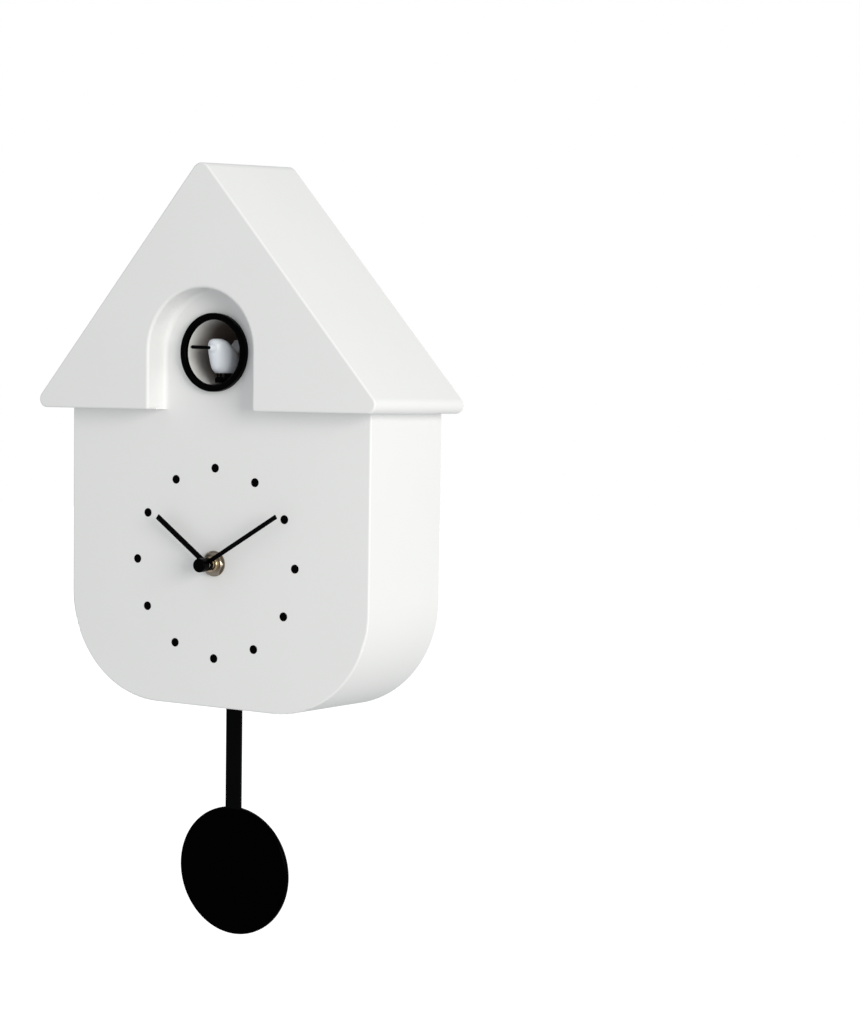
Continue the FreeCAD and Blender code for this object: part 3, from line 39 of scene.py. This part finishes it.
def plastic(name, color, rough, spec=0.5, coat=0.0, grain=0.0002, bump=0.05, vary=0.04, mottle=0.012, sss=0.0, pits=0.0):
    """moulded plastic: fine spark-eroded grain, slow changes of colour and polish"""
    m, nt, b = new_mat(name)
    b.inputs["Specular IOR Level"].default_value = spec
    if coat:
        b.inputs["Coat Weight"].default_value = coat
        b.inputs["Coat Roughness"].default_value = 0.12
    if sss:
        b.inputs["Subsurface Weight"].default_value = sss
        b.inputs["Subsurface Radius"].default_value = (1.0, 0.9, 0.8)
        b.inputs["Subsurface Scale"].default_value = 0.0012
    tc = nt.nodes.new("ShaderNodeTexCoord")
    big = nt.nodes.new("ShaderNodeTexNoise")
    big.inputs["Scale"].default_value = 22.0
    big.inputs["Detail"].default_value = 3.0
    nt.links.new(tc.outputs["Object"], big.inputs["Vector"])
    ramp = nt.nodes.new("ShaderNodeValToRGB")
    ramp.color_ramp.elements[0].position = 0.3
    ramp.color_ramp.elements[1].position = 0.7
    lo = [max(0.0, c * (1 - mottle)) for c in color]
    hi = [min(1.0, c * (1 + mottle)) for c in color]
    ramp.color_ramp.elements[0].color = (*lo, 1)
    ramp.color_ramp.elements[1].color = (*hi, 1)
    nt.links.new(big.outputs["Fac"], ramp.inputs["Fac"])
    nt.links.new(ramp.outputs["Color"], b.inputs["Base Color"])
    mr = nt.nodes.new("ShaderNodeMapRange")
    mr.inputs["To Min"].default_value = max(0.02, rough - vary)
    mr.inputs["To Max"].default_value = min(1.0, rough + vary)
    rn = nt.nodes.new("ShaderNodeTexNoise")
    rn.inputs["Scale"].default_value = 60.0
    rn.inputs["Detail"].default_value = 4.0
    nt.links.new(tc.outputs["Object"], rn.inputs["Vector"])
    nt.links.new(rn.outputs["Fac"], mr.inputs["Value"])
    nt.links.new(mr.outputs["Result"], b.inputs["Roughness"])
    if bump:
        gn = nt.nodes.new("ShaderNodeTexNoise")
        gn.inputs["Scale"].default_value = 1.0 / max(grain, 1e-5) * 0.5
        gn.inputs["Detail"].default_value = 2.0
        nt.links.new(tc.outputs["Object"], gn.inputs["Vector"])
        bp = nt.nodes.new("ShaderNodeBump")
        bp.inputs["Strength"].default_value = bump
        bp.inputs["Distance"].default_value = 0.0001
        nt.links.new(gn.outputs["Fac"], bp.inputs["Height"])
        nt.links.new(bp.outputs["Normal"], b.inputs["Normal"])
    return m


def metal(name, color, rough, vary=0.08, lines=0.0, axis="y"):
    m, nt, b = new_mat(name)
    b.inputs["Metallic"].default_value = 1.0
    tc = nt.nodes.new("ShaderNodeTexCoord")
    n1 = nt.nodes.new("ShaderNodeTexNoise")
    n1.inputs["Scale"].default_value = 180.0
    n1.inputs["Detail"].default_value = 6.0
    nt.links.new(tc.outputs["Object"], n1.inputs["Vector"])
    ramp = nt.nodes.new("ShaderNodeValToRGB")
    ramp.color_ramp.elements[0].color = (*[c * 0.86 for c in color], 1)
    ramp.color_ramp.elements[1].color = (*[min(1.0, c * 1.08) for c in color], 1)
    ramp.color_ramp.elements[0].position = 0.35
    ramp.color_ramp.elements[1].position = 0.65
    nt.links.new(n1.outputs["Fac"], ramp.inputs["Fac"])
    nt.links.new(ramp.outputs["Color"], b.inputs["Base Color"])
    mr = nt.nodes.new("ShaderNodeMapRange")
    mr.inputs["To Min"].default_value = max(0.03, rough - vary)
    mr.inputs["To Max"].default_value = rough + vary
    n2 = nt.nodes.new("ShaderNodeTexNoise")
    n2.inputs["Scale"].default_value = 900.0
    n2.inputs["Detail"].default_value = 3.0
    mp = nt.nodes.new("ShaderNodeMapping")
    st = {"x": (0.08, 1, 1), "y": (1, 0.08, 1), "z": (1, 1, 0.08)}[axis]
    mp.inputs["Scale"].default_value = st
    nt.links.new(tc.outputs["Object"], mp.inputs["Vector"])
    nt.links.new(mp.outputs["Vector"], n2.inputs["Vector"])
    nt.links.new(n2.outputs["Fac"], mr.inputs["Value"])
    nt.links.new(mr.outputs["Result"], b.inputs["Roughness"])
    bp = nt.nodes.new("ShaderNodeBump")
    bp.inputs["Strength"].default_value = 0.15
    bp.inputs["Distance"].default_value = 0.00005
    nt.links.new(n2.outputs["Fac"], bp.inputs["Height"])
    nt.links.new(bp.outputs["Normal"], b.inputs["Normal"])
    return m


M = {
    "white_shell": plastic("white_shell", (0.86, 0.862, 0.866), 0.46, spec=0.32, grain=0.00035, bump=0.10, mottle=0.006),
    "black_trim": plastic("black_trim", (0.0006, 0.0006, 0.0008), 0.30, spec=0.02, grain=0.0003, bump=0.12, mottle=0.2),
    "black_hands": plastic("black_hands", (0.0006, 0.0006, 0.0008), 0.36, spec=0.035, grain=0.0002, bump=0.1, mottle=0.2),
    "black_bob": plastic("black_bob", (0.0001, 0.0001, 0.0001), 0.30, spec=0.012, grain=0.0003, bump=0.12, mottle=0.2),
    "cream_tunnel": plastic("cream_tunnel", (0.85, 0.845, 0.83), 0.6, spec=0.3, grain=0.0005, bump=0.15, mottle=0.02),
    "bird_white": plastic("bird_white", (0.76, 0.80, 0.865), 0.33, spec=0.5, grain=0.0006, bump=0.08, mottle=0.02, sss=0.0),
    "grey_plastic": plastic("grey_plastic", (0.10, 0.105, 0.11), 0.45, grain=0.0003, bump=0.15, mottle=0.06),
    "black_case": plastic("black_case", (0.012, 0.012, 0.013), 0.5, grain=0.0004, bump=0.2, mottle=0.15),
    "red_button": plastic("red_button", (0.5, 0.025, 0.02), 0.3, grain=0.0003, bump=0.05, mottle=0.05),
    "pom_gear": plastic("pom_gear", (0.80, 0.77, 0.68), 0.35, grain=0.0002, bump=0.05, mottle=0.02),
    "brass_bushing": metal("brass_bushing", (0.66, 0.52, 0.35), 0.26),
    "steel": metal("steel", (0.62, 0.61, 0.59), 0.3),
    "plated_brass": metal("plated_brass", (0.36, 0.31, 0.255), 0.34),
    "magnet": metal("magnet", (0.5, 0.5, 0.52), 0.22),
    "rubber": plastic("rubber", (0.012, 0.012, 0.012), 0.8, spec=0.3, grain=0.0006, bump=0.3, mottle=0.1),
    "copper_coil": metal("copper_coil", (0.78, 0.36, 0.18), 0.35, axis="x"),
    "green_board": plastic("green_board", (0.012, 0.12, 0.045), 0.3, coat=0.3, grain=0.0008, bump=0.1, mottle=0.12),
    "components": plastic("components", (0.02, 0.02, 0.022), 0.45, grain=0.0003, bump=0.2, mottle=0.3),
    "cell_sleeve": plastic("cell_sleeve", (0.03, 0.03, 0.035), 0.25, coat=0.3, grain=0.0005, bump=0.05, mottle=0.2),
    "speaker_paper": plastic("speaker_paper", (0.03, 0.03, 0.03), 0.9, spec=0.2, grain=0.0008, bump=0.4, mottle=0.3),
    "lead_sleeve": plastic("lead_sleeve", (0.42, 0.02, 0.015), 0.4, grain=0.0003, bump=0.1, mottle=0.1),
}
# painted shade: the tunnel's cream colour is blended to dim brown away from its mouth, standing in for the shadow deep
# inside the tunnel
tm = M["cream_tunnel"]
tnt = tm.node_tree
tb = tnt.nodes["Principled BSDF"]
tlink = tb.inputs["Base Color"].links[0]
tcol = tlink.from_socket
tcc = tnt.nodes.new("ShaderNodeTexCoord")
tsep = tnt.nodes.new("ShaderNodeSeparateXYZ")
tnt.links.new(tcc.outputs["Object"], tsep.inputs["Vector"])
# painted shade mask: 0 at the tunnel mouth (y -67.2 mm), 1 at y -48.0 mm
painted_shade_depth = tnt.nodes.new("ShaderNodeMapRange")
painted_shade_depth.inputs["From Min"].default_value = -0.0672
painted_shade_depth.inputs["From Max"].default_value = -0.0480
tnt.links.new(tsep.outputs["Y"], painted_shade_depth.inputs["Value"])
# mix the cream colour towards the dark brown painted shade colour by depth
painted_shade_mix = tnt.nodes.new("ShaderNodeMix")
painted_shade_mix.data_type = "RGBA"
for sock in painted_shade_mix.inputs:
    if sock.name == "A" and sock.type == "RGBA":
        tnt.links.new(tcol, sock)
    if sock.name == "B" and sock.type == "RGBA":
        sock.default_value = (0.25, 0.21, 0.19, 1)
tnt.links.new(painted_shade_depth.outputs["Result"], painted_shade_mix.inputs["Factor"])
for sock in painted_shade_mix.outputs:
    if sock.type == "RGBA":
        tnt.links.new(sock, tb.inputs["Base Color"])

for sp in frame["record"]["subparts"]:
    o = nodes.get(sp["node"])
    if o is None:
        continue
    o.data.materials.clear()
    o.data.materials.append(M[sp["material_slot"]])

# ------------------------------------------------------------------ light, floor, camera
scene.view_settings.view_transform = "Standard"
scene.view_settings.look = "None"
world = bpy.data.worlds.new("studio")
scene.world = world
world.use_nodes = True
wn = world.node_tree
for n in list(wn.nodes):
    wn.nodes.remove(n)
wo = wn.nodes.new("ShaderNodeOutputWorld")
mix = wn.nodes.new("ShaderNodeMixShader")
bg1 = wn.nodes.new("ShaderNodeBackground")
bg2 = wn.nodes.new("ShaderNodeBackground")
lp = wn.nodes.new("ShaderNodeLightPath")
bg1.inputs["Color"].default_value = (0.975, 0.995, 1.0, 1)
bg1.inputs["Strength"].default_value = 0.575
bg2.inputs["Color"].default_value = (1, 1, 1, 1)
bg2.inputs["Strength"].default_value = 1.0
wn.links.new(lp.outputs["Is Camera Ray"], mix.inputs["Fac"])
wn.links.new(bg1.outputs["Background"], mix.inputs[1])
wn.links.new(bg2.outputs["Background"], mix.inputs[2])
wn.links.new(mix.outputs["Shader"], wo.inputs["Surface"])

fm = bpy.data.meshes.new("floor")
fm.from_pydata([(-6, -6, -0.60), (6, -6, -0.60), (6, 6, -0.60), (-6, 6, -0.60)], [], [(0, 1, 2, 3)])
floor = bpy.data.objects.new("floor", fm)
scene.collection.objects.link(floor)
m, nt, b = new_mat("floor_white")
b.inputs["Base Color"].default_value = (0.30, 0.30, 0.30, 1)
b.inputs["Roughness"].default_value = 0.9
b.inputs["Specular IOR Level"].default_value = 0.0
b.inputs["Emission Color"].default_value = (1, 1, 1, 1)
b.inputs["Emission Strength"].default_value = 0.95
floor.visible_diffuse = False
floor.visible_glossy = False
fm.materials.append(m)


def area(name, loc, target, size, power, color=(1, 1, 1)):
    l = bpy.data.lights.new(name, "AREA")
    l.shape = "RECTANGLE"
    l.size = size[0]
    l.size_y = size[1]
    l.energy = power
    l.color = color
    o = bpy.data.objects.new(name, l)
    scene.collection.objects.link(o)
    d = (Vector(target) - Vector(loc)).normalized()
    o.rotation_euler = d.to_track_quat("-Z", "Y").to_euler()
    o.location = loc
    return o


area("key", (1.54, -0.90, 0.16), (0, -0.05, -0.12), (0.8, 0.8), 19.0, (1.0, 0.99, 0.925))

yaw, pitch, roll = math.radians(28.85), math.radians(-3.67), math.radians(0.86)
f = Vector((-math.sin(yaw) * math.cos(pitch), math.cos(yaw) * math.cos(pitch), math.sin(pitch)))
r = Vector((math.cos(yaw), math.sin(yaw), 0))
u = r.cross(f)
r2 = r * math.cos(roll) + u * math.sin(roll)
u2 = u * math.cos(roll) - r * math.sin(roll)
cam = bpy.data.cameras.new("cam")
cam.sensor_width = 36.0
cam.sensor_fit = "AUTO"
cam.lens = 1930.375 / 1032.0 * 36.0
cam.clip_start = 0.05
cam.clip_end = 50
co = bpy.data.objects.new("cam", cam)
scene.collection.objects.link(co)
mw = Matrix(((r2.x, u2.x, -f.x, 0.5839), (r2.y, u2.y, -f.y, -0.8938), (r2.z, u2.z, -f.z, -0.0588), (0, 0, 0, 1)))
co.matrix_world = mw
scene.camera = co
